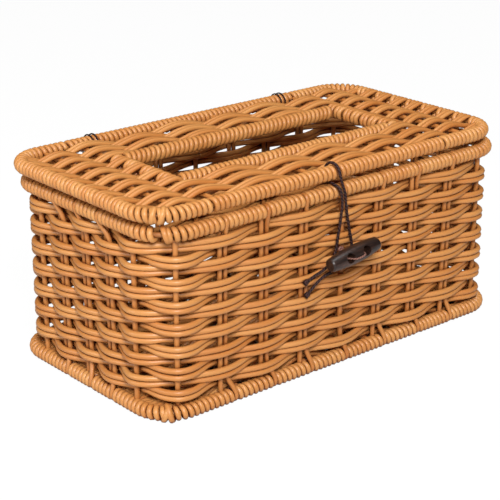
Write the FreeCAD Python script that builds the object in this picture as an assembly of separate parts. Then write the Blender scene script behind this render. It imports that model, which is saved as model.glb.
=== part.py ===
"""A woven tissue box cover: a basket of round cane with a hinged lid, a slot and a toggle closure.

Millimetres. +Z is up, X runs along the long side and the front, with the toggle, faces -Y.
The origin is on the ground under the middle of the box.
"""

import FreeCAD
import Part

import math
import os

# Overall sizes
box_length = 249.2
box_width = 133.2
body_rim_height = 97.7
lid_rise = 10.5
lid_set_left = 3.5
corner_radius = 22.1

# Wound rims: a rod with one layer of strand
rim_core_diameter = 2.5
rim_diameter = 8.2
binding_clearance = 0.15
foot_flat_depth = 0.5

# Cane of the walls and the floor
stake_diameter = 2.8
twin_rod_diameter = 2.6
twin_spacing = 3.3
strand_diameter = 2.7
strand_gap = 0.2
stake_inset = 1.3
wall_corner_radius = 20.8
foot_gap = 2.0
strand_end_clearance = 0.6
strand_end_run = 5.0
front_corner_angle = 27.0
front_stake_gaps = 8
side_stake_gaps = 4

# Floor
base_height = 5.0
base_rib_gaps = 10

# Lid
lid_rib_diameter = 2.6
lid_strand_diameter = 2.5
slot_length = 147.4
slot_width = 38.4
slot_core_diameter = 2.8
slot_bar_diameter = 8.6
slot_rib_gaps = 5
end_pair_pitch = 6.9
cord_way = 2.0

# Hinge ties
tie_diameter = 1.1
tie_clearance = 0.3
tie_spacing = 136.0
tie_pitch = 3.0
tie_turns = 2

# Toggle and its tie
cord_diameter = 1.5
cord_clearance = 0.3
toggle_length = 34.0
toggle_diameter = 10.0
toggle_end_diameter = 7.0
toggle_hole_diameter = 5.2
toggle_hole_spacing = 11.6
toggle_course_from_top = 3
toggle_tilt = 8.0
tie_shank_spacing = 1.9
tie_bend_radius = 1.0
tie_knot_diameter = 3.5
tie_knot_gap = 0.3

# Closure loop: its hitch on the lid's front rim, then the points that its two legs hang through.
# Each point is a place along X from the hitch, a depth in front of the rims' line and a drop below the lid's rim.
hitch_place = -8.0
hitch_advance = 1.8
end_knot_diameter = 3.2
left_leg_route = [
    (-1.2, 5.9, 5.8),
    (0.7, 6.5, 11.6),
    (1.1, 6.1, 19.2),
    (0.0, 4.9, 32.2),
    (-0.6, 4.05, 41.7),
    (-4.0, 4.05, 47.7),
    (-10.0, 4.1, 50.6),
    (-16.0, 4.2, 51.9),
    (-21.7, 4.3, 53.9),
]
right_leg_route = [
    (0.5, 5.7, 3.7),
    (2.7, 6.5, 9.7),
    (3.8, 6.1, 18.2),
    (7.6, 4.9, 31.2),
    (11.0, 4.05, 41.2),
    (9.9, 4.05, 47.7),
    (3.5, 4.05, 51.0),
    (-3.0, 4.05, 52.2),
    (-9.5, 4.1, 53.8),
    (-15.5, 4.2, 57.0),
    (-20.9, 4.3, 61.0),
]

# Rules of making
bend_share = 0.45
half_share = 0.5
settle_rounds = 30
cut_overrun = 5.0
gap_samples = 60

# Sizes that follow from those above
rim_radius = rim_diameter / 2
rim_half_length = box_length / 2 - rim_radius
rim_half_width = box_width / 2 - rim_radius
rim_bend_radius = corner_radius - rim_radius
foot_height = rim_radius - foot_flat_depth
lid_height = body_rim_height + lid_rise
binding_bore = rim_core_diameter + 2 * binding_clearance
wall_half_length = rim_half_length - stake_inset
wall_half_width = rim_half_width - stake_inset
wall_reach = stake_diameter / 2 + strand_diameter / 2 + strand_gap
tie_way = tie_diameter + 2 * tie_clearance
weave_bottom = foot_height + rim_radius + foot_gap
weave_top = body_rim_height - rim_radius - tie_way
course_count = int((weave_top - weave_bottom) / (2 * (strand_diameter + strand_gap)))
strand_pitch = (weave_top - weave_bottom) / (2 * course_count)
rim_inner_length = rim_half_length - rim_radius - strand_end_clearance
rim_inner_width = rim_half_width - rim_radius - strand_gap
rim_inner_bend = rim_bend_radius - rim_radius - strand_end_clearance
slot_bar_radius = slot_bar_diameter / 2
slot_half_length = slot_length / 2 + slot_bar_radius
slot_half_width = slot_width / 2 + slot_bar_radius
slot_outer_length = slot_half_length + slot_bar_radius + strand_end_clearance
slot_outer_width = slot_half_width + slot_bar_radius + strand_gap
lid_outer_width = rim_half_width - rim_radius - cord_way
toggle_height = weave_top - (4 * toggle_course_from_top - 3) * strand_pitch
wall_face = wall_half_width + wall_reach + strand_diameter / 2
leg_depth = wall_face + cord_clearance + cord_diameter / 2
tie_back_depth = leg_depth + cord_diameter + cord_clearance
toggle_depth = tie_back_depth + cord_diameter / 2 + cord_clearance + toggle_diameter / 2
tie_front_depth = toggle_depth + toggle_diameter / 2 + cord_clearance + cord_diameter / 2
tie_knot_place = -(stake_diameter / 2 + tie_knot_gap + tie_knot_diameter / 2)
tie_knot_depth = wall_half_width + stake_diameter / 2 + tie_knot_diameter / 2
hitch_radius = rim_radius + cord_clearance + cord_diameter / 2


def vector(x, y, z):
    return FreeCAD.Vector(x, y, z)


def export(node, shapes):
    """Write one node, a single solid or a group of separate solids."""
    shape = shapes[0] if len(shapes) == 1 else Part.makeCompound(shapes)
    shape.exportStep("parts/" + node + ".step")
    solids = shape.Solids
    volume = sum(solid.Volume for solid in solids)
    valid = all(solid.isValid() for solid in solids)
    print(node, "solids", len(solids), "volume", round(volume, 1), "valid", valid)


# Paths and tubes


def arc_crown(corner, back, ahead, reach):
    """The middle of the arc that touches both sides of a corner at the same reach from it."""
    turn = math.pi - back.getAngle(ahead)
    middle = back + ahead
    middle.normalize()
    return corner + middle * (reach * math.tan(turn / 4))


def round_corner(before, here, after, radius=None):
    """The start, crown and end of the arc that rounds a corner, as large as its runs allow or of a set radius."""
    back = before - here
    ahead = after - here
    reach = bend_share * min(back.Length, ahead.Length)
    back.normalize()
    ahead.normalize()
    if radius is not None:
        reach = min(reach, radius / math.tan(back.getAngle(ahead) / 2))
    return here + back * reach, arc_crown(here, back, ahead, reach), here + ahead * reach


def rounded_corners(points, radius=None):
    """The rounded corners of an open run of points."""
    return [round_corner(points[i - 1], points[i], points[i + 1], radius) for i in range(1, len(points) - 1)]


def path_edges(start, corners, end):
    """Straight runs and tangent arcs from start to end."""
    edges = []
    place = start
    for arc_start, crown, arc_end in corners:
        edges.append(Part.LineSegment(place, arc_start).toShape())
        edges.append(Part.Arc(arc_start, crown, arc_end).toShape())
        place = arc_end
    edges.append(Part.LineSegment(place, end).toShape())
    return edges


def tube(edges, diameter):
    """A round tube along a chain of edges."""
    first = edges[0]
    start = first.valueAt(first.FirstParameter)
    direction = first.tangentAt(first.FirstParameter)
    section = Part.Wire(Part.Circle(start, direction, diameter / 2).toShape())
    return Part.Wire(edges).makePipeShell([section], True, False)


def rod(start, end, diameter):
    """A straight round rod."""
    along = end - start
    return Part.makeCylinder(diameter / 2, along.Length, start, along)


def sleeve(start, end, diameter, bore):
    """A straight round sleeve."""
    return rod(start, end, diameter).cut(rod(start, end, bore))


def rim_ring(diameter, height, shift):
    """A closed round tube along the rounded rectangle of the rims."""
    straight_x = rim_half_length - rim_bend_radius
    straight_y = rim_half_width - rim_bend_radius
    slant = rim_bend_radius * math.sqrt(half_share)
    edges = []
    for sign_x, sign_y in ((1, -1), (1, 1), (-1, 1), (-1, -1)):
        centre = vector(sign_x * straight_x + shift, sign_y * straight_y, height)
        side = centre + vector(sign_x * rim_bend_radius, 0, 0)
        end = centre + vector(0, sign_y * rim_bend_radius, 0)
        crown = centre + vector(sign_x * slant, sign_y * slant, 0)
        first, last = (end, side) if sign_x * sign_y < 0 else (side, end)
        edges.append((first, crown, last))
    parts = []
    for i, (first, crown, last) in enumerate(edges):
        parts.append(Part.Arc(first, crown, last).toShape())
        parts.append(Part.LineSegment(last, edges[(i + 1) % len(edges)][0]).toShape())
    return tube(parts, diameter)


def rim_edge(inner_length, inner_width, bend, across):
    """How far along X the space inside a rounded rectangle reaches at a place across it."""
    past = abs(across) - (inner_width - bend)
    if past <= 0:
        return inner_length
    return inner_length - bend + math.sqrt(bend**2 - past**2)


# Stakes of the walls: each has a point, an outward direction, and one rod or two side by side


def wall_point(place, along_front, sign):
    """A stake's point and outward direction, on a long or a short wall."""
    half = wall_half_length if along_front else wall_half_width
    depth = wall_half_width if along_front else wall_half_length
    past = abs(place) - (half - wall_corner_radius)
    angle = math.asin(past / wall_corner_radius) if past > 0 else 0.0
    out = depth - wall_corner_radius * (1 - math.cos(angle))
    lean = math.copysign(math.sin(angle), place)
    if along_front:
        return vector(place, sign * out, 0), vector(lean, sign * math.cos(angle), 0)
    return vector(sign * out, place, 0), vector(sign * math.cos(angle), lean, 0)


def wall_stake(place, along_front, sign, single):
    point, outward = wall_point(place, along_front, sign)
    if single:
        return point, outward, [(point, stake_diameter)]
    aside = vector(-outward.y, outward.x, 0) * (twin_spacing / 2)
    return point, outward, [(point + aside, twin_rod_diameter), (point - aside, twin_rod_diameter)]


def wall(gaps, reach, along_front, sign, direction):
    """Evenly spaced stakes from one corner stake to the other, in the order that they are met."""
    stakes = []
    for i in range(gaps + 1):
        single = i in (0, gaps) or (along_front and i == gaps // 2)
        stakes.append(wall_stake(direction * reach * (2 * i / gaps - 1), along_front, sign, single))
    return stakes


front_corner_place = wall_half_length - wall_corner_radius * (1 - math.sin(math.radians(front_corner_angle)))
side_corner_place = wall_half_width - wall_corner_radius
walls = {
    "front": wall(front_stake_gaps, front_corner_place, True, -1, 1),
    "right": wall(side_stake_gaps, side_corner_place, False, 1, 1),
    "back": wall(front_stake_gaps, front_corner_place, True, 1, -1),
    "left": wall(side_stake_gaps, side_corner_place, False, -1, -1),
}
all_stakes = walls["front"] + walls["right"] + walls["back"] + walls["left"]


def make_stakes():
    """Rods from rim to rim, or on the back wall up to the way of the hinge ties."""
    low = vector(0, 0, foot_height + rim_radius + strand_gap)
    for name, stakes in walls.items():
        top_gap = tie_way if name == "back" else strand_gap
        high = vector(0, 0, body_rim_height - rim_radius - top_gap)
        rods = [rod(axis + low, axis + high, diameter) for _, _, axes in stakes for axis, diameter in axes]
        export(name + "_stakes", rods)


# Weave: strands that pass each stake or rib on one side, then on the other


def arc_clearance(circle, crown, rods, outward):
    """How far the middle line of an arc passes from the surfaces of the rods that it goes round."""
    wraps = (crown - circle.Center).dot(outward) > 0
    gaps = []
    for axis, diameter in rods:
        inside = circle.Radius - (axis - circle.Center).Length
        gaps.append((inside if wraps else -inside) - diameter / 2)
    return min(gaps)


def settled(crossings, sides, diameter, ends=None):
    """Corner points of a strand whose rounded path passes every crossing with the same gap."""
    count = len(crossings)
    wanted = diameter / 2 + strand_gap
    heights = [wanted] * count
    for _ in range(settle_rounds):
        points = [p + n * (s * h) for (p, n, _), s, h in zip(crossings, sides, heights)]
        for i, ((_, normal, rods), side) in enumerate(zip(crossings, sides)):
            if ends is None:
                before, after = points[i - 1], points[(i + 1) % count]
            else:
                before = points[i - 1] if i > 0 else ends[0]
                after = points[i + 1] if i < count - 1 else ends[1]
            start, crown, end = round_corner(before, points[i], after)
            circle = Part.Arc(start, crown, end).toShape().Curve
            heights[i] += wanted - arc_clearance(circle, crown, rods, normal * side)
    return points


def half_arcs(corner):
    """A rounded corner's arc as two arcs that meet at its crown."""
    arc = Part.Arc(*corner)
    crown = (arc.FirstParameter + arc.LastParameter) * half_share
    return arc.toShape(arc.FirstParameter, crown), arc.toShape(crown, arc.LastParameter)


def wall_ring(phase):
    """One strand round the whole wall, at height zero, in four lengths that meet end to end at the corner stakes."""
    sides = [1 if (i + phase) % 2 else -1 for i in range(len(all_stakes))]
    points = settled(all_stakes, sides, strand_diameter)
    count = len(points)
    corners = [round_corner(points[i - 1], points[i], points[(i + 1) % count]) for i in range(count)]
    long_wall = len(walls["front"])
    short_wall = len(walls["right"])
    seams = [0, long_wall - 1, long_wall + short_wall, 2 * long_wall + short_wall - 1, count]
    lengths = []
    for first, last in zip(seams, seams[1:]):
        leaving = half_arcs(corners[first])[1]
        arriving = half_arcs(corners[last % count])[0]
        run = path_edges(corners[first][2], corners[first + 1:last], corners[last % count][0])
        lengths.append(tube([leaving, *run, arriving], strand_diameter))
    return lengths


def make_wall_weave():
    rings = [wall_ring(phase) for phase in (0, 1)]
    for course in range(course_count):
        ring = rings[(course_count - 1 - course) % 2]
        heights = [weave_bottom + (2 * course + i + half_share) * strand_pitch for i in (0, 1)]
        strands = [length.translated(vector(0, 0, height)) for height in heights for length in ring]
        export("weave_course_" + str(course + 1).zfill(2), strands)


def strand_reach(reach, places, diameter):
    """How far out a strand runs: up to its full reach, or short of a rib that would be too near its end."""
    for place in places:
        if abs(place - reach) < strand_end_run:
            return place - diameter / 2 - strand_end_clearance
    return reach


def flat_strand(start, end, ribs, phase, diameter):
    """One strand along X that goes over and under the ribs of a flat panel, which are rods along Y."""
    met = [(i, p, d) for i, (p, d) in enumerate(ribs) if start.x < p < end.x]
    sides = [1 if (i + phase) % 2 else -1 for i, _, _ in met]
    crossings = []
    for _, place, rib_diameter in met:
        point = vector(place, start.y, start.z)
        crossings.append((point, vector(0, 0, 1), [(point, rib_diameter)]))
    points = settled(crossings, sides, diameter, (start, end))
    return tube(path_edges(start, rounded_corners([start, *points, end]), end), diameter)


# Floor


def make_base():
    half_room = rim_inner_width
    pairs = int(2 * half_room / (2 * (strand_diameter + strand_gap)))
    pitch = half_room / pairs
    spacing = 2 * rim_inner_length / base_rib_gaps
    places = [spacing * i - rim_inner_length for i in range(1, base_rib_gaps)]
    ribs = [(place, stake_diameter) for place in places]
    rods = []
    for place in places:
        rods.append(rod(vector(place, -half_room, base_height), vector(place, half_room, base_height), stake_diameter))
    export("base_ribs", rods)
    strands = []
    for i in range(2 * pairs):
        across = (i + half_share) * pitch - half_room
        outer_side = abs(across) + strand_diameter / 2
        edge = rim_edge(rim_inner_length, rim_inner_width, rim_inner_bend, min(outer_side, half_room))
        end = strand_reach(edge, places, stake_diameter)
        start = vector(-end, across, base_height)
        strands.append(flat_strand(start, vector(end, across, base_height), ribs, i // 2, strand_diameter))
    export("base_weave", strands)


# Rims


def make_rim(name, height, shift):
    """The rod of a rim and the layer of strand wound on it, as one smooth sleeve."""
    export(name + "_core", [rim_ring(rim_core_diameter, height, shift)])
    layer = rim_ring(rim_diameter, height, shift).cut(rim_ring(binding_bore, height, shift))
    if height < rim_radius:
        ground = Part.makeBox(
            box_length + 2 * cut_overrun,
            box_width + 2 * cut_overrun,
            cut_overrun,
            vector(-box_length / 2 - cut_overrun, -box_width / 2 - cut_overrun, -cut_overrun),
        )
        layer = layer.cut(ground)
    export(name + "_binding", [layer])


# Lid


def at_lid(x, y):
    return vector(x - lid_set_left, y, lid_height)


def make_slot_frame():
    """The slot's two short bars, with the two long bars between them."""
    bore = slot_core_diameter + 2 * binding_clearance
    short_end = slot_half_width + slot_bar_radius
    long_end = slot_half_length - slot_bar_radius - strand_gap
    bars = []
    for sign in (-1, 1):
        bars.append((at_lid(sign * slot_half_length, -short_end), at_lid(sign * slot_half_length, short_end)))
        bars.append((at_lid(-long_end, sign * slot_half_width), at_lid(long_end, sign * slot_half_width)))
    export("slot_frame_core", [rod(start, end, slot_core_diameter) for start, end in bars])
    export("slot_frame_binding", [sleeve(start, end, slot_bar_diameter, bore) for start, end in bars])


def lid_rib_places():
    """Places of the ribs along the lid: one at each end, and the rest from one end of the slot to the other."""
    end_place = (slot_half_length + rim_half_length) / 2
    spacing = 2 * slot_half_length / slot_rib_gaps
    between = [spacing * i - slot_half_length for i in range(slot_rib_gaps + 1)]
    return [-end_place, *between, end_place]


def make_lid_ribs():
    first, *between, last = lid_rib_places()
    ribs = []
    for place in (first, last):
        ribs.append(rod(at_lid(place, -lid_outer_width), at_lid(place, lid_outer_width), lid_rib_diameter))
    for place in between:
        for sign in (-1, 1):
            inner = at_lid(place, sign * slot_outer_width)
            ribs.append(rod(inner, at_lid(place, sign * lid_outer_width), lid_rib_diameter))
    export("lid_ribs", ribs)


def lid_strand(start, end, across, phase):
    """One strand of the lid, from one place along X to another."""
    ribs = [(place - lid_set_left, lid_rib_diameter) for place in lid_rib_places()]
    return flat_strand(at_lid(start, across), at_lid(end, across), ribs, phase, lid_strand_diameter)


def make_lid_weave():
    room = lid_outer_width - slot_outer_width
    pairs = int(room / (2 * (lid_strand_diameter + strand_gap)))
    pitch = room / (2 * pairs)
    for name, sign in (("front", -1), ("back", 1)):
        strands = []
        for i in range(2 * pairs):
            across = sign * (slot_outer_width + (i + half_share) * pitch)
            outer_side = abs(across) + lid_strand_diameter / 2
            edge = rim_edge(rim_inner_length, rim_inner_width, rim_inner_bend, outer_side)
            end = strand_reach(edge, lid_rib_places(), lid_rib_diameter)
            strands.append(lid_strand(-end, end, across, i // 2))
        export("lid_" + name + "_weave", strands)
    end_pairs = int(2 * slot_outer_width / end_pair_pitch)
    end_pitch = 2 * slot_outer_width / end_pairs
    beside = (lid_strand_diameter + strand_gap) / 2
    for name, sign in (("left", -1), ("right", 1)):
        strands = []
        for i in range(2 * end_pairs):
            pair = i // 2
            across = (pair + half_share) * end_pitch - slot_outer_width + (beside if i % 2 else -beside)
            span = sorted((sign * slot_outer_length, sign * rim_inner_length))
            strands.append(lid_strand(span[0], span[1], across, pair))
        export("lid_" + name + "_weave", strands)


# Wound cords: a helix in quarter turns, each of two tangent arcs


def biarc(start, start_way, end, end_way):
    """Two arcs that leave start along one direction and reach end along another."""
    gap = end - start
    both = start_way + end_way
    square = 2 * (1 - start_way.dot(end_way))
    along = gap.dot(both)
    reach = (-along + math.sqrt(along**2 + square * gap.dot(gap))) / square
    first = start + start_way * reach
    second = end - end_way * reach
    join = (first + second) * half_share
    across = second - first
    across.normalize()
    leaving = Part.Arc(start, arc_crown(first, start_way * -1, across, reach), join)
    arriving = Part.Arc(join, arc_crown(second, across * -1, end_way, reach), end)
    return [leaving.toShape(), arriving.toShape()]


def wound_edges(stations):
    """Edges through stations of a winding, each a point and its direction: straight where both run the same way."""
    edges = []
    for (start, start_way), (end, end_way) in zip(stations, stations[1:]):
        if start_way.getAngle(end_way) < math.radians(1):
            edges.append(Part.LineSegment(start, end).toShape())
        else:
            edges += biarc(start, start_way, end, end_way)
    return edges


def least_gap_to_itself(edges, diameter, apart):
    """The least gap between parts of a wound tube that lie more than a set length of cord from each other."""
    points = []
    run = 0.0
    for edge in edges:
        for i in range(gap_samples):
            share = i / gap_samples
            at = edge.FirstParameter + share * (edge.LastParameter - edge.FirstParameter)
            points.append((run + share * edge.Length, edge.valueAt(at)))
        run += edge.Length
    return min(
        ((p - q).Length for s, p in points for t, q in points if t - s > apart),
        default=math.inf,
    ) - diameter


def make_hinge_tie(name, place):
    """A cord wound round the two back rims, one above the other."""
    radius = rim_radius + tie_clearance + tie_diameter / 2
    turn_length = 2 * math.pi * radius + 2 * lid_rise
    quarter = math.pi / 2 * radius
    slope = tie_pitch / turn_length
    y = rim_half_width
    low = body_rim_height
    high = lid_height
    loop = [
        (y, low - radius, 1, 0, quarter),
        (y + radius, low, 0, 1, lid_rise),
        (y + radius, high, 0, 1, quarter),
        (y, high + radius, -1, 0, quarter),
        (y - radius, high, 0, -1, lid_rise),
        (y - radius, low, 0, -1, quarter),
    ]
    x = place - tie_pitch * tie_turns / 2
    stations = []
    for step in range(len(loop) * tie_turns + 1):
        at_y, at_z, way_y, way_z, length = loop[step % len(loop)]
        way = vector(slope, way_y, way_z)
        way.normalize()
        stations.append((vector(x, at_y, at_z), way))
        x += slope * length
    first, first_way = stations[0]
    last, last_way = stations[-1]
    stations.insert(0, (first - first_way * tie_diameter, first_way))
    stations.append((last + last_way * tie_diameter, last_way))
    edges = wound_edges(stations)
    gap = least_gap_to_itself(edges, tie_diameter, turn_length / 2)
    print(name, "least gap to itself", round(gap, 2))
    export(name, [tube(edges, tie_diameter)])


# Toggle


toggle_centre = vector(tie_knot_place, -toggle_depth, toggle_height)


def tilted(shape):
    """A shape turned with the toggle about its tie, with the right end up."""
    return shape.rotated(toggle_centre, vector(0, -1, 0), toggle_tilt)


def make_toggle():
    centre = toggle_centre
    half = toggle_length / 2
    end_radius = toggle_end_diameter / 2
    crown = centre + vector(0, 0, toggle_diameter / 2)
    left = centre - vector(half, 0, 0)
    right = centre + vector(half, 0, 0)
    left_edge = left + vector(0, 0, end_radius)
    right_edge = right + vector(0, 0, end_radius)
    outline = Part.Wire([
        Part.LineSegment(left, left_edge).toShape(),
        Part.Arc(left_edge, crown, right_edge).toShape(),
        Part.LineSegment(right_edge, right).toShape(),
        Part.LineSegment(right, left).toShape(),
    ])
    barrel = Part.Face(outline).revolve(centre, vector(1, 0, 0), 360)
    for sign in (-1, 1):
        mouth = centre + vector(sign * toggle_hole_spacing / 2, -toggle_diameter, 0)
        far = centre + vector(sign * toggle_hole_spacing / 2, toggle_diameter, 0)
        barrel = barrel.cut(rod(mouth, far, toggle_hole_diameter))
    export("toggle", tilted(barrel).Solids)


def make_toggle_tie():
    """The cord through the toggle's holes, with its ends in a knot beside the middle front stake."""
    outline = [
        (-tie_shank_spacing / 2, tie_knot_depth),
        (-tie_shank_spacing / 2, tie_back_depth),
        (-toggle_hole_spacing / 2, tie_back_depth),
        (-toggle_hole_spacing / 2, tie_front_depth),
        (toggle_hole_spacing / 2, tie_front_depth),
        (toggle_hole_spacing / 2, tie_back_depth),
        (tie_shank_spacing / 2, tie_back_depth),
        (tie_shank_spacing / 2, tie_knot_depth),
    ]
    points = [vector(tie_knot_place + x, -depth, toggle_height) for x, depth in outline]
    cord = tube(path_edges(points[0], rounded_corners(points, tie_bend_radius), points[-1]), cord_diameter)
    knot = Part.makeSphere(tie_knot_diameter / 2, vector(tie_knot_place, -tie_knot_depth, toggle_height))
    export("toggle_tie", tilted(cord.fuse(knot)).Solids)


# Closure loop


def make_closure_hitch():
    """The turn of cord round the lid's front rim, from its front over the top and down to the gap below it."""
    slope = hitch_advance / (3 * math.pi / 2 * hitch_radius)
    stations = []
    for quarter in range(4):
        angle = quarter * math.pi / 2
        at = vector(
            hitch_place - hitch_advance * quarter / 3,
            -rim_half_width - hitch_radius * math.cos(angle),
            lid_height + hitch_radius * math.sin(angle),
        )
        way = vector(-slope, math.sin(angle), math.cos(angle))
        way.normalize()
        stations.append((at, way))
    edges = wound_edges(stations)
    gap = least_gap_to_itself(edges, cord_diameter, math.pi * hitch_radius)
    print("closure_hitch least gap to itself", round(gap, 2))
    export("closure_hitch", [tube(edges, cord_diameter)])


def leg_points(start, route):
    """The points of a leg, from its place along X, its depth and its drop at each."""
    return [vector(hitch_place + x, -rim_half_width - y, lid_height - z) for x, y, z in [start, *route]]


left_leg_points = leg_points((-hitch_advance, 0, hitch_radius), left_leg_route)
right_leg_points = leg_points((0, hitch_radius, 0), right_leg_route)


def make_closure_leg(name, points):
    corners = rounded_corners(points)
    edges = path_edges(points[0], corners, points[-1])
    leg = tube(edges, cord_diameter)
    length = sum(edge.Length for edge in edges)
    radii = [round(edge.Curve.Radius, 1) for edge in edges if hasattr(edge.Curve, "Radius")]
    share = leg.Volume / (math.pi * cord_diameter**2 / 4 * length)
    print(name, "length", round(length, 1), "radii", radii, "volume share", round(share, 4))
    export(name, [leg])


def make_end_knots():
    ends = [left_leg_points[-1], right_leg_points[-1]]
    export("closure_end_knots", [Part.makeSphere(end_knot_diameter / 2, end) for end in ends])


os.makedirs("parts", exist_ok=True)
make_rim("foot_rim", foot_height, 0)
make_rim("body_rim", body_rim_height, 0)
make_rim("lid_rim", lid_height, -lid_set_left)
make_base()
make_stakes()
make_wall_weave()
make_slot_frame()
make_lid_ribs()
make_lid_weave()
make_hinge_tie("hinge_tie_left", -lid_set_left - tie_spacing / 2)
make_hinge_tie("hinge_tie_right", -lid_set_left + tie_spacing / 2)
make_toggle()
make_toggle_tie()
make_closure_hitch()
make_closure_leg("closure_left_leg", left_leg_points)
make_closure_leg("closure_right_leg", right_leg_points)
make_end_knots()
print("courses", course_count, "strand pitch", round(strand_pitch, 3), "toggle height", round(toggle_height, 2))
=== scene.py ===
# %% [markdown]
# # A woven tissue box cover
# The real object is a box of round cane: upright stakes, pairs of strands woven round them, rims wound with the
# same cane, a lid with a slot, and a wooden toggle held by a cord loop.
# The solids already give every size, so this lesson loads them as a fixed frame and builds the looks around them.

import math

import bpy
import numpy as np
from mathutils import Matrix, Vector


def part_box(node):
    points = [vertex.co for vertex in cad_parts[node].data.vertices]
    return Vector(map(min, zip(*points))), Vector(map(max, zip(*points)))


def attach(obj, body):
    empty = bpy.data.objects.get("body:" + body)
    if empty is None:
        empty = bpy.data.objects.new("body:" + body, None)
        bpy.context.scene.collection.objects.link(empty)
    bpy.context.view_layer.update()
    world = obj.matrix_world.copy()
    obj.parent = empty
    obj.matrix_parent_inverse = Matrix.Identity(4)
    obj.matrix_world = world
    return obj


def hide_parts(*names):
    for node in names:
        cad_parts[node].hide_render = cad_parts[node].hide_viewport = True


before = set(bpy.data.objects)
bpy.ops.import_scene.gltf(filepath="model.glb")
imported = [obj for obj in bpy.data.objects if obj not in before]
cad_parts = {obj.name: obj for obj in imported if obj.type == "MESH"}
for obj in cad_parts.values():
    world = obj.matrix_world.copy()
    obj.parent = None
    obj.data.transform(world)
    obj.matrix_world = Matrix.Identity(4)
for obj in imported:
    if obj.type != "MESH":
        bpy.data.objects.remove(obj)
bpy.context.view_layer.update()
MM = 0.001

# %% [markdown]
# ## The camera
# A product photo is taken from a little above and from one corner, with a long lens so that the box keeps its shape.
# The camera could be placed by eye. Here its angle, distance and lens were worked out from the outline of the box.

# %% Camera
PHOTO_WIDTH = 500
FOCAL_PIXELS = 1498.2
VIEW_AZIMUTH = math.radians(-40.44)
VIEW_ELEVATION = math.radians(20.46)
VIEW_DISTANCE = 0.831
VIEW_TARGET = Vector((-0.01067, 0.0, 0.04852))

camera_data = bpy.data.cameras.new("photo_camera")
camera_data.sensor_width = 36.0
camera_data.lens = camera_data.sensor_width * FOCAL_PIXELS / PHOTO_WIDTH
camera = bpy.data.objects.new("photo_camera", camera_data)
view_back = Vector((
    math.sin(VIEW_AZIMUTH) * math.cos(VIEW_ELEVATION),
    -math.cos(VIEW_AZIMUTH) * math.cos(VIEW_ELEVATION),
    math.sin(VIEW_ELEVATION),
))
camera.location = VIEW_TARGET + view_back * VIEW_DISTANCE
camera.rotation_mode = "QUATERNION"
camera.rotation_quaternion = (-view_back).to_track_quat("-Z", "Y")
bpy.context.scene.collection.objects.link(camera)
bpy.context.scene.camera = camera
bpy.context.scene.view_settings.view_transform = "Standard"
print("lens", round(camera_data.lens, 1), "mm, camera at", [round(v, 3) for v in camera.location])

# %% [markdown]
# ## Shader maths
# A finish is a small graph of nodes. Wiring it by hand takes many lines, so one class wraps a socket and lets
# ordinary Python operators add the Math nodes. Everything else comes from one method that makes any node.


# %% A socket that understands arithmetic
class Signal:
    """A number that varies over the surface."""

    def __init__(self, finish, socket):
        self.finish = finish
        self.socket = socket

    def _math(self, operation, a, b=0.0):
        return self.finish.node("ShaderNodeMath", {"operation": operation}, {0: a, 1: b})[0]

    def __add__(self, other):
        return self._math("ADD", self, other)

    def __radd__(self, other):
        return self._math("ADD", other, self)

    def __sub__(self, other):
        return self._math("SUBTRACT", self, other)

    def __rsub__(self, other):
        return self._math("SUBTRACT", other, self)

    def __mul__(self, other):
        return self._math("MULTIPLY", self, other)

    def __rmul__(self, other):
        return self._math("MULTIPLY", other, self)

    def __pow__(self, other):
        return self._math("POWER", self, other)

    def __lt__(self, other):
        return self._math("LESS_THAN", self, other)

    def __abs__(self):
        return self._math("ABSOLUTE", self)

    def sin(self):
        return self._math("SINE", self)

    def cos(self):
        return self._math("COSINE", self)


print("arithmetic ready")

# %% [markdown]
# ## Finishes
# A finish could be wired by hand in the shader editor. A class with one method that makes any node, and a few short
# ones for what every finish needs, keeps each finish below to a recipe of a few lines.


# %% A finish
class Finish:
    """One material, or the world: its node tree, its shader and the nodes added to it."""

    def __init__(self, name, world=None):
        self.material = world or bpy.data.materials.new(name)
        self.material.use_nodes = True
        self.tree = self.material.node_tree
        self.shader = self.tree.nodes.get("Principled BSDF")

    def node(self, kind, settings=None, inputs=None):
        """Adds a node, with its settings first and then its inputs, and gives its outputs as signals."""
        node = self.tree.nodes.new(kind)
        for key, value in (settings or {}).items():
            setattr(node, key, value)
        for key, value in (inputs or {}).items():
            self.feed(node.inputs[key], value)
        return [Signal(self, socket) for socket in node.outputs]

    def feed(self, socket, value):
        if isinstance(value, Signal):
            self.tree.links.new(value.socket, socket)
        else:
            socket.default_value = value

    def mix(self, share, first, second):
        """A colour between two colours."""
        colours = [c if isinstance(c, Signal) else (*c, 1.0) for c in (first, second)]
        inputs = {0: share, 6: colours[0], 7: colours[1]}
        return self.node("ShaderNodeMix", {"data_type": "RGBA"}, inputs)[2]

    def noise(self, vector, scale, detail=2.0, rough=0.5):
        inputs = {"Vector": vector, "Scale": scale, "Detail": detail, "Roughness": rough}
        return self.node("ShaderNodeTexNoise", {}, inputs)[0]

    def vector(self, x, y, z):
        return self.node("ShaderNodeCombineXYZ", {}, {0: x, 1: y, 2: z})[0]

    def bump(self, height, strength, distance):
        inputs = {"Strength": strength, "Distance": distance, "Height": height}
        self.feed(self.shader.inputs["Normal"], self.node("ShaderNodeBump", {}, inputs)[0])

    def set(self, **values):
        for key, value in values.items():
            self.feed(self.shader.inputs[key.replace("_", " ")], value)

    def strand_place(self):
        """Round the strand as a share of a turn, along it in metres, and a random share of its own."""
        uv = self.node("ShaderNodeUVMap", {"uv_map": "strand"})[0]
        around, along, _ = self.node("ShaderNodeSeparateXYZ", {}, {0: uv})
        tone = self.node("ShaderNodeAttribute", {"attribute_name": "tone"})[2]
        return around, along, tone


print("ready to mix finishes")

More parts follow.
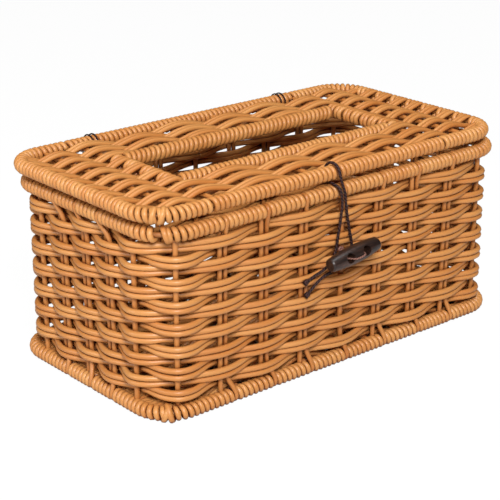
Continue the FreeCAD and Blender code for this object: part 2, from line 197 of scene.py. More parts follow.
# %% [markdown]
# ## Cane
# The strands are smooth caramel plastic cane: satin, with faint fibres along the length and a slow drift of tone.
# A photo of cane wrapped round each tube would stretch, so the fibres are noise in the strand's own
# coordinates: round it, and along it. The two coordinates run on a cylinder, so that no seam shows.
# Where strands lie close together, an Ambient Occlusion node darkens the colour to a deeper brown: this is painted
# shade.


# %% The cane finishes
# Painted shade: how far the Ambient Occlusion node looks, the levels between which it darkens, and the deeper brown it
# darkens towards.
PAINTED_SHADE_REACH = 0.005
PAINTED_SHADE_DEEP = 0.16
PAINTED_SHADE_OPEN = 0.58
PAINTED_SHADE_TINT = (0.30, 0.11, 0.04)


def cane_finish(name, light, dark, roughness):
    finish = Finish(name)
    around, along, tone = finish.strand_place()
    angle = around * (2 * math.pi)
    across_x = angle.cos()
    across_y = angle.sin()
    shifted = along + tone * 7.0
    fibres = finish.noise(finish.vector(across_x * 1.6, across_y * 1.6, shifted * 30.0), 2.2, 3.0, 0.6)
    drift = finish.noise(finish.vector(across_x * 0.2, across_y * 0.2, shifted * 16.0), 1.0, 1.0)
    share = (fibres - 0.5) * 0.5 + (drift - 0.5) * 0.9 + (tone - 0.5) * 0.35 + 0.5
    # Painted shade: the Base Color darkens towards a deeper brown where the Ambient Occlusion node finds strands close
    # by.
    closeness = finish.node("ShaderNodeAmbientOcclusion", {"samples": 6}, {"Distance": PAINTED_SHADE_REACH})[1]
    unshaded_share = (closeness - PAINTED_SHADE_DEEP) * (1 / (PAINTED_SHADE_OPEN - PAINTED_SHADE_DEEP))
    colour = finish.mix(unshaded_share, [c * s for c, s in zip(dark, PAINTED_SHADE_TINT)], finish.mix(share, dark, light))
    finish.set(Base_Color=colour, Roughness=fibres * 0.16 + roughness)
    finish.set(Coat_Weight=0.18, Coat_Roughness=0.3, Specular_IOR_Level=0.45)
    finish.bump(fibres, 0.12, 0.0004)
    return finish.material


STRAND_LIGHT = (0.65, 0.310, 0.094)
STRAND_DARK = (0.49, 0.160, 0.030)
strand_cane = cane_finish("strand_cane", STRAND_LIGHT, STRAND_DARK, 0.37)
wound_cane = cane_finish("wound_cane", (0.67, 0.330, 0.104), (0.51, 0.180, 0.036), 0.38)
# The rods' cane is a darker, more saturated copy of the strands' cane: painted shade for rods that stand in the shade
# of the weave.
rod_cane_painted_shade = cane_finish("rod_cane_painted_shade", (0.58, 0.245, 0.064), (0.43, 0.136, 0.024), 0.38)
print("cane finishes:", strand_cane.name, wound_cane.name, rod_cane_painted_shade.name)

# %% [markdown]
# ## Strands as tubes
# Each strand is a round tube along a path. A curve with a bevel would do, but a mesh tube can also carry the
# strand's own coordinates for the finish, so the tube is swept here: a ring of points is carried along the path and
# turned as little as possible at each step.


# %% Tube maker
def run_along(path):
    """The length along a path at each of its points."""
    return np.concatenate([[0.0], np.cumsum(np.linalg.norm(np.diff(path, axis=0), axis=1))])


def swept_rings(path, radius, sides):
    """Rings of points along a path, and the length along it at each ring."""
    path = np.asarray(path, float)
    ways = np.gradient(path, axis=0)
    ways /= np.linalg.norm(ways, axis=1)[:, None]
    side = np.cross(ways[0], (0.0, 0.0, 1.0))
    if np.linalg.norm(side) < 0.1:
        side = np.cross(ways[0], (0.0, 1.0, 0.0))
    sides_list = []
    for way in ways:
        side = side - way * (side @ way)
        side = side / np.linalg.norm(side)
        sides_list.append(side)
    first = np.array(sides_list)
    second = np.cross(ways, first)
    angles = np.arange(sides) * 2 * math.pi / sides
    radii = np.broadcast_to(np.asarray(radius, float), (len(path),))
    spread = first[:, None, :] * np.cos(angles)[None, :, None] + second[:, None, :] * np.sin(angles)[None, :, None]
    return path[:, None, :] + spread * radii[:, None, None], run_along(path)


def tube_faces(count, sides, start=0):
    """The faces of a closed tube: those round it, ring by ring, and then its two ends."""
    ring_start = start + np.arange(count - 1)[:, None] * sides
    here = np.arange(sides)[None, :]
    after = (here + 1) % sides
    quads = np.stack([ring_start + here, ring_start + after,
                      ring_start + sides + after, ring_start + sides + here], axis=-1).reshape(-1, 4)
    first = list(range(start, start + sides))
    return quads.tolist() + [first[::-1], [k + (count - 1) * sides for k in first]]


print("tube maker ready")

# %% [markdown]
# ## Strands as pieces
# One object holds all the strands of a piece, such as the two strands of a course. Each strand keeps its own
# coordinates and a random tone, so that no two look alike. The piece rides on a body and stands for a solid.


# %% Piece maker
def strand_object(name, paths, radius, body, material, node, sides=10, seed=0, floor=None):
    """One object from many open paths, in millimetres, with the strand coordinates that the finishes read.
    The radius is one number, or a list with one for each path."""
    rng = np.random.default_rng(seed)
    radii = radius if isinstance(radius, list) else [radius] * len(paths)
    points, faces, uvs, tones = [], [], [], []
    start = 0
    for path, thickness in zip(paths, radii):
        rings, along = swept_rings(path, thickness, sides)
        count = len(rings)
        faces += tube_faces(count, sides, start)
        u = np.arange(sides) / sides
        low, high, left, right = np.broadcast_arrays(along[:-1, None] * MM, along[1:, None] * MM, u, u + 1 / sides)
        corners = np.stack([left, low, right, low, right, high, left, high], axis=-1)
        uvs.append(corners.reshape(-1, 2))
        uvs += [np.full((sides, 2), along[end] * MM) for end in (0, -1)]
        points.append(rings.reshape(-1, 3))
        tones.append(np.full(count * sides, rng.random()))
        start += count * sides
    co = np.concatenate(points)
    if floor is not None:
        co[:, 2] = np.maximum(co[:, 2], floor)
    mesh = bpy.data.meshes.new(name)
    mesh.from_pydata((co * MM).tolist(), [], faces)
    layer = mesh.uv_layers.new(name="strand")
    layer.data.foreach_set("uv", np.concatenate(uvs).astype(np.float32).ravel())
    tone = mesh.attributes.new("tone", "FLOAT", "POINT")
    tone.data.foreach_set("value", np.concatenate(tones).astype(np.float32))
    mesh.polygons.foreach_set("use_smooth", np.ones(len(mesh.polygons), bool))
    mesh.materials.append(material)
    piece = bpy.data.objects.new(name, mesh)
    bpy.context.scene.collection.objects.link(piece)
    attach(piece, body)
    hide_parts(node)
    return piece


def wander(rng, length, places, amount, waves=5):
    """A slow seeded wander along a path, the same at both ends of a closed one."""
    total = np.zeros_like(places)
    for k in range(1, waves + 1):
        total += rng.normal() / k * np.sin(2 * math.pi * k * places / length + rng.uniform(0, 2 * math.pi))
    return total * amount / 1.2


print("piece maker ready")

# %% [markdown]
# ## The cords come first
# A dark cord loop is hitched round the lid's front rim. Its two legs hang down the front, part on either side of the
# toggle's tie and end in knots. A hanging cord is one smooth line, so a NURBS spline takes the route's points and the
# tube follows what the spline gives.

# %% Cord finish
def cord_finish(name, light, dark, lay):
    """A cord of two plies twisted together, with one turn in each lay, in metres."""
    finish = Finish(name)
    around, along, tone = finish.strand_place()
    twist = ((around * 2.0 + along * (2.0 / lay)) * (2 * math.pi)).sin()
    ply = twist * 0.5 + 0.5
    angle = around * (2 * math.pi)
    fuzz = finish.noise(finish.vector(angle.cos(), angle.sin(), along * 1500.0 + tone * 9.0), 1.6, 4.0, 0.6)
    # Painted highlight and painted shade: the light colour lies on the crown of each ply and the dark one in the groove
    # between plies, where the bump also lies.
    share = ply ** 2.0 * (fuzz * 1.2)
    finish.set(Base_Color=finish.mix(share, dark, light), Roughness=fuzz * 0.25 + 0.5, Specular_IOR_Level=0.3)
    finish.bump(ply + fuzz * 0.3, 0.7, 0.0004)
    return finish.material


# Each cord's first colour is its painted highlight on the ply crowns, and the second is its painted shade between the
# plies.
loop_cord = cord_finish("loop_cord", (0.095, 0.035, 0.032), (0.012, 0.004, 0.004), 0.0042)
hinge_cord = cord_finish("hinge_cord", (0.060, 0.022, 0.016), (0.010, 0.004, 0.003), 0.0036)
tie_cord = cord_finish("tie_cord", (0.42, 0.22, 0.17), (0.17, 0.07, 0.05), 0.0030)
print("cord finishes:", loop_cord.name, hinge_cord.name, tie_cord.name)

# %% [markdown]
# ## The closure loop
# The two legs of the loop are one limp cord. A hand-drawn curve object would do for a still picture. Here the route's
# points go into a spline, and a mesh tube follows it, so that the cord's length can be measured.
# A pulled overhand knot is close to a trefoil, which three sines draw.

# %% The loop's route
RIM_RADIUS = 4.1
RIM_HALF_LENGTH = 120.5
RIM_HALF_WIDTH = 62.5
RIM_BEND = 18.0
FOOT_HEIGHT = 3.6
BODY_RIM_HEIGHT = 97.7
LID_HEIGHT = 108.2
LID_SET_LEFT = 3.5
CORD_RADIUS = 0.75
HITCH_PLACE = -8.0
HITCH_ADVANCE = 1.8
HITCH_RADIUS = 5.15
KNOT_SIZE = 0.42
LEFT_LEG_ROUTE = [
    (-1.8, 0.0, 5.15), (-1.2, 5.9, 5.8), (0.7, 6.5, 11.6), (1.1, 6.1, 19.2), (0.0, 4.9, 32.2),
    (-0.6, 4.05, 41.7), (-4.0, 4.05, 47.7), (-10.0, 4.1, 50.6), (-16.0, 4.2, 51.9), (-21.7, 4.3, 53.9),
]
RIGHT_LEG_ROUTE = [
    (0.0, 5.15, 0.0), (0.5, 5.7, 3.7), (2.7, 6.5, 9.7), (3.8, 6.1, 18.2), (7.6, 4.9, 31.2), (11.0, 4.05, 41.2),
    (9.9, 4.05, 47.7), (3.5, 4.05, 51.0), (-3.0, 4.05, 52.2), (-9.5, 4.1, 53.8), (-15.5, 4.2, 57.0),
    (-20.9, 4.3, 61.0),
]


def spline_points(points):
    """The smooth line of a NURBS spline that a route's points guide, in millimetres."""
    curve = bpy.data.curves.new("route", "CURVE")
    curve.dimensions = "3D"
    curve.resolution_u = 16
    spline = curve.splines.new("NURBS")
    spline.points.add(len(points) - 1)
    for target, place in zip(spline.points, points):
        target.co = (*place, 1.0)
    spline.order_u = 3
    spline.use_endpoint_u = True
    holder = bpy.data.objects.new("route", curve)
    mesh = bpy.data.meshes.new_from_object(holder)
    line = np.array([vertex.co for vertex in mesh.vertices], float)
    bpy.data.objects.remove(holder)
    bpy.data.curves.remove(curve)
    bpy.data.meshes.remove(mesh)
    return line


def leg_line(route):
    return spline_points([(HITCH_PLACE + x, -RIM_HALF_WIDTH - y, LID_HEIGHT - z) for x, y, z in route])


def knot_path(centre, size):
    """A trefoil: the line of a pulled overhand knot."""
    t = np.linspace(0, 2 * math.pi, 64)
    x = np.sin(t) + 2 * np.sin(2 * t)
    y = np.cos(t) - 2 * np.cos(2 * t)
    z = -np.sin(3 * t)
    return np.asarray(centre) + np.stack([x, z * 0.9, y], axis=1) * size


print("leg routes of", len(LEFT_LEG_ROUTE), "and", len(RIGHT_LEG_ROUTE), "points")

# %% [markdown]
# ## Legs, knots and hitch
# On the real box the loop is one length of cord. Here each leg, each knot and the turn round the rim is a piece of its
# own, because each stands for a solid of its own.

# %% The closure loop
legs = {"left": leg_line(LEFT_LEG_ROUTE), "right": leg_line(RIGHT_LEG_ROUTE)}
for side, line in legs.items():
    leg = strand_object("loop_" + side + "_leg", [line], CORD_RADIUS, "closure_loop", loop_cord,
                        "closure_" + side + "_leg", 12)
    knot_line = knot_path(line[-1], KNOT_SIZE)
    knot = strand_object("loop_" + side + "_knot", [knot_line], CORD_RADIUS, "closure_loop", loop_cord,
                         "closure_end_knots")

hitch_angles = np.linspace(0, 1.5 * math.pi, 50)
hitch_share = np.linspace(0, 1, 50)
hitch_path = np.stack([
    HITCH_PLACE - HITCH_ADVANCE * hitch_share,
    -RIM_HALF_WIDTH - HITCH_RADIUS * np.cos(hitch_angles),
    LID_HEIGHT + HITCH_RADIUS * np.sin(hitch_angles),
], axis=1)
strand_object("loop_hitch", [hitch_path], CORD_RADIUS, "closure_loop", loop_cord, "closure_hitch", 12)

# %% [markdown]
# ## Hinge ties
# There is no metal hinge. Two dark cords are wound round both back rims, and the lid's rim turns inside them.
# A helix round one rim is a cosine and a sine; round two rims, the path is a racetrack that advances a little.

# %% Hinge ties
TIE_RADIUS = 0.4
TIE_PITCH = 3.0
TIE_TURNS = 2
TIE_SPACING = 136.0
TIE_REACH = RIM_RADIUS + 0.05 + TIE_RADIUS


def racetrack(samples):
    """One turn round the two back rims, as (y, z) points from the lowest one."""
    angles = np.linspace(-math.pi / 2, math.pi / 2, samples)
    outer = np.stack([np.cos(angles), np.sin(angles)], axis=1) * TIE_REACH
    low_half = outer[: samples // 2 + 1] + (RIM_HALF_WIDTH, BODY_RIM_HEIGHT)
    high_half = outer[samples // 2:] + (RIM_HALF_WIDTH, LID_HEIGHT)
    front = np.concatenate([low_half, high_half])
    back = front[::-1].copy()
    back[:, 0] = 2 * RIM_HALF_WIDTH - back[:, 0]
    return np.concatenate([front, back[1:-1]])


def tie_path(place):
    loop = racetrack(24)
    turns = np.concatenate([loop] * TIE_TURNS + [loop[:1]])
    along = run_along(turns)
    x = place + (along / along[-1] - 0.5) * TIE_PITCH * TIE_TURNS
    return np.column_stack([x, turns])


for side, sign in (("left", -1), ("right", 1)):
    path = tie_path(sign * TIE_SPACING / 2 - LID_SET_LEFT)
    strand_object("hinge_cord_" + side, [path], TIE_RADIUS, "basket", hinge_cord, "hinge_tie_" + side)
print("hinge ties at", [s * TIE_SPACING / 2 - LID_SET_LEFT for s in (-1, 1)], "mm")

# %% [markdown]
# ## The line of the walls
# Stakes and strands follow a rounded rectangle. Sampling it once, with the outward direction at every step, lets every
# later piece ask for a place by its distance along the wall.


# %% Rounded rectangle
class Ring:
    """A rounded rectangle sampled by length, from the middle of the front to the right and round."""

    def __init__(self, half_x, half_y, bend):
        straight_x, straight_y = half_x - bend, half_y - bend
        corners = [(straight_x, -straight_y, -90), (straight_x, straight_y, 0),
                   (-straight_x, straight_y, 90), (-straight_x, -straight_y, 180)]
        points, outs = [(0.0, -half_y)], [(0.0, -1.0)]
        for cx, cy, begin in corners:
            for degrees in np.linspace(begin, begin + 90, 60):
                out = (math.cos(math.radians(degrees)), math.sin(math.radians(degrees)))
                points.append((cx + bend * out[0], cy + bend * out[1]))
                outs.append(out)
        points.append((0.0, -half_y))
        outs.append((0.0, -1.0))
        self.points = np.array(points)
        self.outs = np.array(outs)
        self.along = run_along(self.points)
        self.length = self.along[-1]

    def at(self, places):
        places = np.mod(places, self.length)
        xy = np.stack([np.interp(places, self.along, self.points[:, k]) for k in (0, 1)], axis=-1)
        out = np.stack([np.interp(places, self.along, self.outs[:, k]) for k in (0, 1)], axis=-1)
        return xy, out / np.linalg.norm(out, axis=-1, keepdims=True)

    def place_of(self, x, y):
        """The length along the ring that is nearest to a point."""
        fine = np.linspace(0, self.length, 8000)
        xy, _ = self.at(fine)
        return fine[np.argmin((xy[:, 0] - x) ** 2 + (xy[:, 1] - y) ** 2)]


STAKE_INSET = 1.3
STAKE_RADIUS = 1.4
TWIN_RADIUS = 1.3
TWIN_SPACING = 3.3
WALL_HALF_LENGTH = RIM_HALF_LENGTH - STAKE_INSET
WALL_HALF_WIDTH = RIM_HALF_WIDTH - STAKE_INSET
WALL_BEND = 20.8
wall_ring = Ring(WALL_HALF_LENGTH, WALL_HALF_WIDTH, WALL_BEND)
rim_ring = Ring(RIM_HALF_LENGTH, RIM_HALF_WIDTH, RIM_BEND)

FRONT_GAPS = 8
SIDE_GAPS = 4
FRONT_CORNER = math.radians(27.0)
front_reach = WALL_HALF_LENGTH - WALL_BEND * (1 - math.sin(FRONT_CORNER))
side_reach = WALL_HALF_WIDTH - WALL_BEND
corner_out = WALL_HALF_WIDTH - WALL_BEND * (1 - math.cos(FRONT_CORNER))


def stake_points():
    """Every stake in order round the box: its wall, its x and y, and whether it is a single rod."""
    stakes = []
    for i in range(FRONT_GAPS + 1):
        x = front_reach * (2 * i / FRONT_GAPS - 1)
        corner = i in (0, FRONT_GAPS)
        y = -corner_out if corner else -WALL_HALF_WIDTH
        stakes.append(("front", x, y, corner or i == FRONT_GAPS // 2))
    for i in range(SIDE_GAPS + 1):
        y = side_reach * (2 * i / SIDE_GAPS - 1)
        stakes.append(("right", WALL_HALF_LENGTH, y, i in (0, SIDE_GAPS)))
    for wall, other in (("front", "back"), ("right", "left")):
        stakes += [(other, -x, -y, single) for name, x, y, single in stakes if name == wall]
    return stakes


stakes = stake_points()
stake_places = np.array([wall_ring.place_of(x, y) for _, x, y, _ in stakes])
stake_places = np.where(stake_places < stake_places[0], stake_places + wall_ring.length, stake_places)
print(len(stakes), "stakes round", round(wall_ring.length, 1), "mm of wall")

# %% [markdown]
# ## Woven walls
# Fourteen courses of two strands go round the box, outside one stake and inside the next, and each course starts on
# the other side from its neighbour. The strand's distance from the wall swings from one side to the other like a
# cosine, which is close to how stiff cane bends. At the front corners the strands run straighter than the round line.
# A slow seeded wander keeps the rows from looking machined.

# %% Wall strands
COURSES = 14
WEAVE_BOTTOM = 9.7
WEAVE_TOP = 91.9
STRAND_RADIUS = 1.55
STRAND_PITCH = (WEAVE_TOP - WEAVE_BOTTOM) / (2 * COURSES)
WALL_REACH = STAKE_RADIUS + STRAND_RADIUS
CORNER_CUT = 1.6
PAIR_RISE = 0.12
BACK_STAKE = 18
WALL_STEPS = 440


def gap_share(places, knots):
    """Which gap between knots each place is in, and how far along that gap it lies."""
    i = np.clip(np.searchsorted(knots, places, side="right") - 1, 0, len(knots) - 2)
    return i, (places - knots[i]) / (knots[i + 1] - knots[i])


def swing(places, knots, values):
    """Values that pass from each knot to the next along a cosine."""
    i, share = gap_share(places, knots)
    smooth = (1 - np.cos(np.clip(share, 0, 1) * math.pi)) / 2
    return values[i] + (values[i + 1] - values[i]) * smooth


def corner_cut(places, order, knots):
    """How far a stiff strand cuts inside a front corner, between the two single stakes that stand there."""
    i, share = gap_share(places, knots)
    front_single = np.array([single and y < -1 for _, _, y, single in stakes])[order % len(stakes)]
    at_corner = front_single[:-1] & front_single[1:]
    return np.where(at_corner[i], CORNER_CUT * 4 * share * (1 - share), 0.0)


def wall_strand(course, member, rng):
    """One strand round the box, which starts and ends behind a stake of the back wall, out of sight."""
    phase = (COURSES - 1 - course) % 2
    order = BACK_STAKE + phase + np.arange(len(stakes) + 1)
    knots = stake_places[order % len(stakes)] + wall_ring.length * (order // len(stakes))
    sides = np.where((order + phase) % 2, 1.0, -1.0)
    reach = sides * (WALL_REACH + rng.uniform(0.0, 0.25, len(order)))
    places = np.linspace(knots[0], knots[-1], WALL_STEPS)
    offset = swing(places, knots, reach) - corner_cut(places, order, knots)
    rise = swing(places, knots, sides) * (PAIR_RISE if member else -PAIR_RISE)
    height = WEAVE_BOTTOM + (2 * course + member + 0.5) * STRAND_PITCH + rise
    xy, out = wall_ring.at(places)
    xy = xy + out * offset[:, None]
    return np.column_stack([xy, height + wander(rng, wall_ring.length, places, 0.16)])


wall_rng = np.random.default_rng(3)
for course in range(COURSES):
    paths = [wall_strand(course, member, wall_rng) for member in (0, 1)]
    number = str(course + 1).zfill(2)
    strand_object("wall_strands_" + number, paths, STRAND_RADIUS, "basket", strand_cane,
                  "weave_course_" + number, seed=course)
print("wall strands:", 2 * COURSES, "of pitch", round(STRAND_PITCH, 2), "mm")

# %% [markdown]
# ## Stakes
# The uprights stand in twos, with single rods at the corners and in the middle of the long walls. One rod of each two
# is bent over the rims: its top is turned over the body rim and its foot lies over the foot rim, among the turns of
# the winding. The other rod ends behind the rims.

# %% Stake rods
WOUND_RADIUS = 1.5
WIND_RADIUS = RIM_RADIUS - WOUND_RADIUS
ROD_GAP = 2.7


def rim_arc(height, angles):
    """Points on a turn of the rim's winding, as distance out of the stake's plane and height."""
    return [(STAKE_INSET + WIND_RADIUS * math.cos(a), height + WIND_RADIUS * math.sin(a)) for a in np.radians(angles)]


def straight_profile():
    return [(0.0, 0.0, FOOT_HEIGHT + 1.0), (0.0, 0.0, 50.0), (0.0, 0.0, BODY_RIM_HEIGHT - 1.0)]


def bent_profile(lean, foot_lean):
    """From under the foot rim, up the wall and over the body rim, as distance along the wall, out of it, and height."""
    foot = rim_arc(FOOT_HEIGHT, (-80, -40, 0, 32))
    top = rim_arc(BODY_RIM_HEIGHT, (-32, 0, 40, 80, 120, 150))
    rise = [(0.75 * foot_lean, 2.4, 8.6), (0.3 * foot_lean, 1.0, 12.0), (0.0, 0.0, 17.0), (0.0, 0.0, 50.0)]
    rise += [(0.0, 0.0, 84.0), (-0.3 * lean, 0.9, 89.4), (-0.75 * lean, 2.2, 92.4)]
    return [(foot_lean, *p) for p in foot] + rise + [(-lean, *p) for p in top]


def stake_path(place, profile):
    points = []
    for shift, depth, z in profile:
        xy, out = wall_ring.at(np.array(place + shift))
        points.append((xy[0] + out[0] * depth, xy[1] + out[1] * depth, z))
    return spline_points(points)


walls = {}
foot_breaks, body_breaks = [], []
lean_rng = np.random.default_rng(8)
for (wall, x, y, single), place in zip(stakes, stake_places):
    rods = walls.setdefault(wall, [])
    if single and abs(x) > 1:
        rods.append((stake_path(place, straight_profile()), STAKE_RADIUS))
        continue
    if single:
        bent_place, radius = place, STAKE_RADIUS
    else:
        rods.append((stake_path(place - TWIN_SPACING / 2, straight_profile()), TWIN_RADIUS))
        bent_place, radius = place + TWIN_SPACING / 2, TWIN_RADIUS
    lean = lean_rng.uniform(1.0, 3.0) if wall in ("front", "back") else lean_rng.uniform(3.5, 6.0)
    foot_lean = lean_rng.uniform(1.5, 4.0)
    rods.append((stake_path(bent_place, bent_profile(lean, foot_lean)), radius))
    foot_breaks.append((rim_ring.place_of(*wall_ring.at(np.array(bent_place + foot_lean))[0]), ROD_GAP))
    body_breaks.append((rim_ring.place_of(*wall_ring.at(np.array(bent_place - lean))[0]), ROD_GAP))
for wall, rods in walls.items():
    paths, radii = [list(column) for column in zip(*rods)]
    strand_object(wall + "_uprights", paths, radii, "basket", rod_cane_painted_shade,
                  wall + "_stakes", seed=len(wall), floor=0.0)
print("bent rods:", len(body_breaks))

# %% [markdown]
# ## Wound rims
# A strand is wound tightly round each rim's rod. A ring copied along the rim would look like beads: a helix leans, as
# the real turns do. Between the bent rods each stretch is one helix with a whole number of turns, so that a turn is
# left free for the rod. At the near corner a few slanted turns lie over the others, and the body rim has a gap.


# %% Windings
WIND_PITCH = 3.2
NEAR_CORNER = (-115.4, -57.4)
NEAR_GAP = 5.0


def wound_path(ring, begin, end, height, radius, shift=0.0, rng=None, steps=14):
    """A helix round a rim from one place to another, with its ends on the inside."""
    turns = max(1, round((end - begin) / WIND_PITCH))
    t = np.linspace(0, 1, turns * steps + 1)
    places = begin + (end - begin) * t
    if rng is not None:
        places = places + wander(rng, end - begin, places - begin, 0.10, 6) * np.sin(math.pi * t)
    turn = math.pi - 2 * math.pi * turns * t
    xy, out = ring.at(places)
    xy = xy + out * (radius * np.cos(turn))[:, None]
    return np.column_stack([xy[:, 0] + shift, xy[:, 1], height + radius * np.sin(turn)])


def stretches(breaks, length):
    """The stretches of a closed rim between breaks, each given as a place and a width."""
    breaks = sorted((place % length, width) for place, width in breaks)
    after = breaks[1:] + [(breaks[0][0] + length, breaks[0][1])]
    spans = [(a + wide_a / 2, b - wide_b / 2) for (a, wide_a), (b, wide_b) in zip(breaks, after)]
    return [(a, b) for a, b in spans if b - a > WIND_PITCH / 2]


def slanted_turn(place, slant, height, radius, shift=0.0):
    """A single turn over the outside of a rim, leaning along the rim."""
    t = np.linspace(0, 1, 20)
    turn = np.radians(150 - 300 * t)
    xy, out = rim_ring.at(place + slant * (t - 0.5))
    xy = xy + out * (radius * np.cos(turn))[:, None]
    return np.column_stack([xy[:, 0] + shift, xy[:, 1], height + radius * np.sin(turn)])


near_corner = rim_ring.place_of(*NEAR_CORNER)
body_breaks.append((near_corner, NEAR_GAP))
tucked = {
    "foot_rim": [(near_corner + 1.0, -5.0, WIND_RADIUS + 0.9), (near_corner + 3.0, 4.5, WIND_RADIUS + 1.3)],
    "body_rim": [(near_corner + 2.6, 4.5, WIND_RADIUS + 0.5)],
}
wind_rng = np.random.default_rng(11)
for name, height, breaks in (("foot_rim", FOOT_HEIGHT, foot_breaks), ("body_rim", BODY_RIM_HEIGHT, body_breaks)):
    paths = [
        wound_path(rim_ring, a, b, height, WIND_RADIUS, rng=wind_rng) for a, b in stretches(breaks, rim_ring.length)
    ]
    paths += [slanted_turn(place, slant, height, radius) for place, slant, radius in tucked[name]]
    strand_object(name + "_winding", paths, WOUND_RADIUS, "basket", wound_cane,
                  name + "_binding", seed=len(name), floor=0.0)
    print(name, "winding in", len(paths), "stretches")

# %% [markdown]
# ## The lid
# The lid has the same weave lying flat: strands run along the box over and under ribs. On the short sides the strands
# themselves turn over the rim, two by two, and at the slot's ends they turn over the short bars. Along the front, the
# back and the corners the rim is wound like the others.

# %% Lid sizes
LID_STRAND = 1.41
LID_RIB = 1.3
SLOT_HALF_LENGTH = 78.0
SLOT_HALF_WIDTH = 23.5
SLOT_BAR = 4.3
RIM_TURN = RIM_RADIUS - LID_STRAND
BAR_TURN = SLOT_BAR - LID_STRAND
BAR_WIND = SLOT_BAR - WOUND_RADIUS
LID_REACH = LID_RIB + LID_STRAND + 0.05
SLOT_EDGE = SLOT_HALF_WIDTH + SLOT_BAR + 0.2
STRIP_EDGE = RIM_HALF_WIDTH - RIM_RADIUS - 2.0
STRIP_PAIRS = 5
END_PAIRS = 8
LID_PHASE = 1
TUCKED = -2.3
CORNER_LEVEL = 1.2
STRIP_PITCH = (STRIP_EDGE - SLOT_EDGE) / STRIP_PAIRS
END_PITCH = 2 * SLOT_EDGE / END_PAIRS
RIB_END = (SLOT_HALF_LENGTH + RIM_HALF_LENGTH) / 2
STRAIGHT_EDGE = RIM_HALF_WIDTH - RIM_BEND
ribs = [-RIB_END] + [SLOT_HALF_LENGTH * (2 * i / 5 - 1) for i in range(6)] + [RIB_END]
strip = [SLOT_EDGE + (k + 0.5) * STRIP_PITCH for k in range(STRIP_PAIRS)]
middles = [("front", -y) for y in strip[::-1]]
middles += [("ends", (k + 0.5) * END_PITCH - SLOT_EDGE) for k in range(END_PAIRS)]
middles += [("back", y) for y in strip]
rim_pitch = 2 * STRIP_EDGE / len(middles)
pairs = [(group, y, (n + 0.5) * rim_pitch - STRIP_EDGE) for n, (group, y) in enumerate(middles)]


print("lid pairs:", len(pairs))

# %% [markdown]
# ## How a lid strand runs
# A strand rises over one rib and dips under the next, and its ends are turned over a bar or tucked below it. Small
# functions for each of these give the same bends on every strand.


# %% Lid bends
def is_over(number, crossing):
    """Whether a pair lies over a crossing: -1 is the left rim, 0 to 7 are the ribs and 8 is the right rim."""
    return (number + crossing + LID_PHASE) % 2 == 1


def to_lid(points):
    """From the lid's own middle to the frame."""
    return np.asarray(points) + (-LID_SET_LEFT, 0.0, LID_HEIGHT)


def over_bar(centre, radius, outward):
    """The turn of a strand over a bar, from its top towards the outside and round underneath."""
    angles = np.radians(np.linspace(90, -150, 12))
    return np.stack([centre + outward * radius * np.cos(angles), radius * np.sin(angles)], axis=1)


def spread(x, number, beside):
    """Where a strand lies across the lid: the pairs are close beside the slot and evenly spread at the rims."""
    group, middle, at_rim = pairs[number]
    begin = SLOT_HALF_LENGTH if group == "ends" else 0.6 * SLOT_HALF_LENGTH
    share = np.clip((np.abs(x) - begin) / (RIB_END - begin), 0, 1)
    return middle + (at_rim - middle) * share * share * (3 - 2 * share) + beside


def lid_strand(number, beside, start, end, rng):
    """A strand of the lid: start and end are (x, z, turn), where turn is the bar's radius, or 0 for a plain end."""
    inner = [(i, x) for i, x in enumerate(ribs) if start[0] + 3 < x < end[0] - 3]
    knots = np.array([start[0]] + [x for _, x in inner] + [end[0]])
    levels = [(1 if is_over(number, i) else -1) * (LID_REACH + rng.uniform(0, 0.2)) for i, _ in inner]
    values = np.array([start[1], *levels, end[1]])
    x = np.linspace(start[0], end[0], max(24, int((end[0] - start[0]) / 1.7)))
    line = np.stack([x, swing(x, knots, values)], axis=1)
    if start[2]:
        line = np.concatenate([over_bar(start[0], start[2], -1)[:0:-1], line])
    if end[2]:
        line = np.concatenate([line, over_bar(end[0], end[2], 1)[1:]])
    y = spread(line[:, 0], number, beside) + wander(rng, 240.0, line[:, 0] + 130.0, 0.14, 4)
    return to_lid(np.column_stack([line[:, 0], y, line[:, 1]]))


def rim_inside(across):
    """How far the lid's rim line lies from the middle at a place across it."""
    past = abs(across) - STRAIGHT_EDGE
    return RIM_HALF_LENGTH if past <= 0 else RIM_HALF_LENGTH - RIM_BEND + math.sqrt(RIM_BEND**2 - past**2)


def rim_end(sign, across, number):
    """How a strand ends at the left or right rim: turned over it, or tucked under it."""
    over = is_over(number, 8 if sign > 0 else -1)
    if abs(across) > STRAIGHT_EDGE:
        return sign * (rim_inside(across) - 1.0), (CORNER_LEVEL if over else -CORNER_LEVEL), 0
    return (sign * RIM_HALF_LENGTH, RIM_TURN, RIM_TURN) if over else (sign * (RIM_HALF_LENGTH - 1.0), TUCKED, 0)


def bar_end(sign, number):
    """How a strand ends at a short bar of the slot."""
    over = is_over(number, 6 if sign > 0 else 1)
    return (sign * SLOT_HALF_LENGTH, BAR_TURN, BAR_TURN) if over else (sign * (SLOT_HALF_LENGTH + 1.0), TUCKED, 0)


print("lid bends ready")

# %% [markdown]
# ## Lid strands
# On the real lid a strand's end is turned down over the rim or tucked below it, in turns. One function draws any strand
# from the list of what it crosses, which is shorter and safer than drawing fifty-two curves by hand.

# %% Lid strands
lid_rng = np.random.default_rng(5)
lid_paths = {"front": [], "back": [], "left": [], "right": []}
for number, (group, _, at_rim) in enumerate(pairs):
    for beside in (-LID_STRAND, LID_STRAND):
        left, right = [rim_end(sign, at_rim + beside, number) for sign in (-1, 1)]
        if group == "ends":
            lid_paths["left"].append(lid_strand(number, beside, left, bar_end(-1, number), lid_rng))
            lid_paths["right"].append(lid_strand(number, beside, bar_end(1, number), right, lid_rng))
        else:
            lid_paths[group].append(lid_strand(number, beside, left, right, lid_rng))
for seed, (side, paths) in enumerate(lid_paths.items()):
    strand_object("lid_" + side + "_strands", paths, LID_STRAND, "lid", strand_cane,
                  "lid_" + side + "_weave", seed=20 + seed)
    print("lid", side, "strands:", len(paths))

# %% [markdown]
# ## Lid ribs
# Eight straight rods carry the lid's weave; only the outer two run from rim to rim. Plain tubes are enough, because
# they show only as dark bars between the strands.

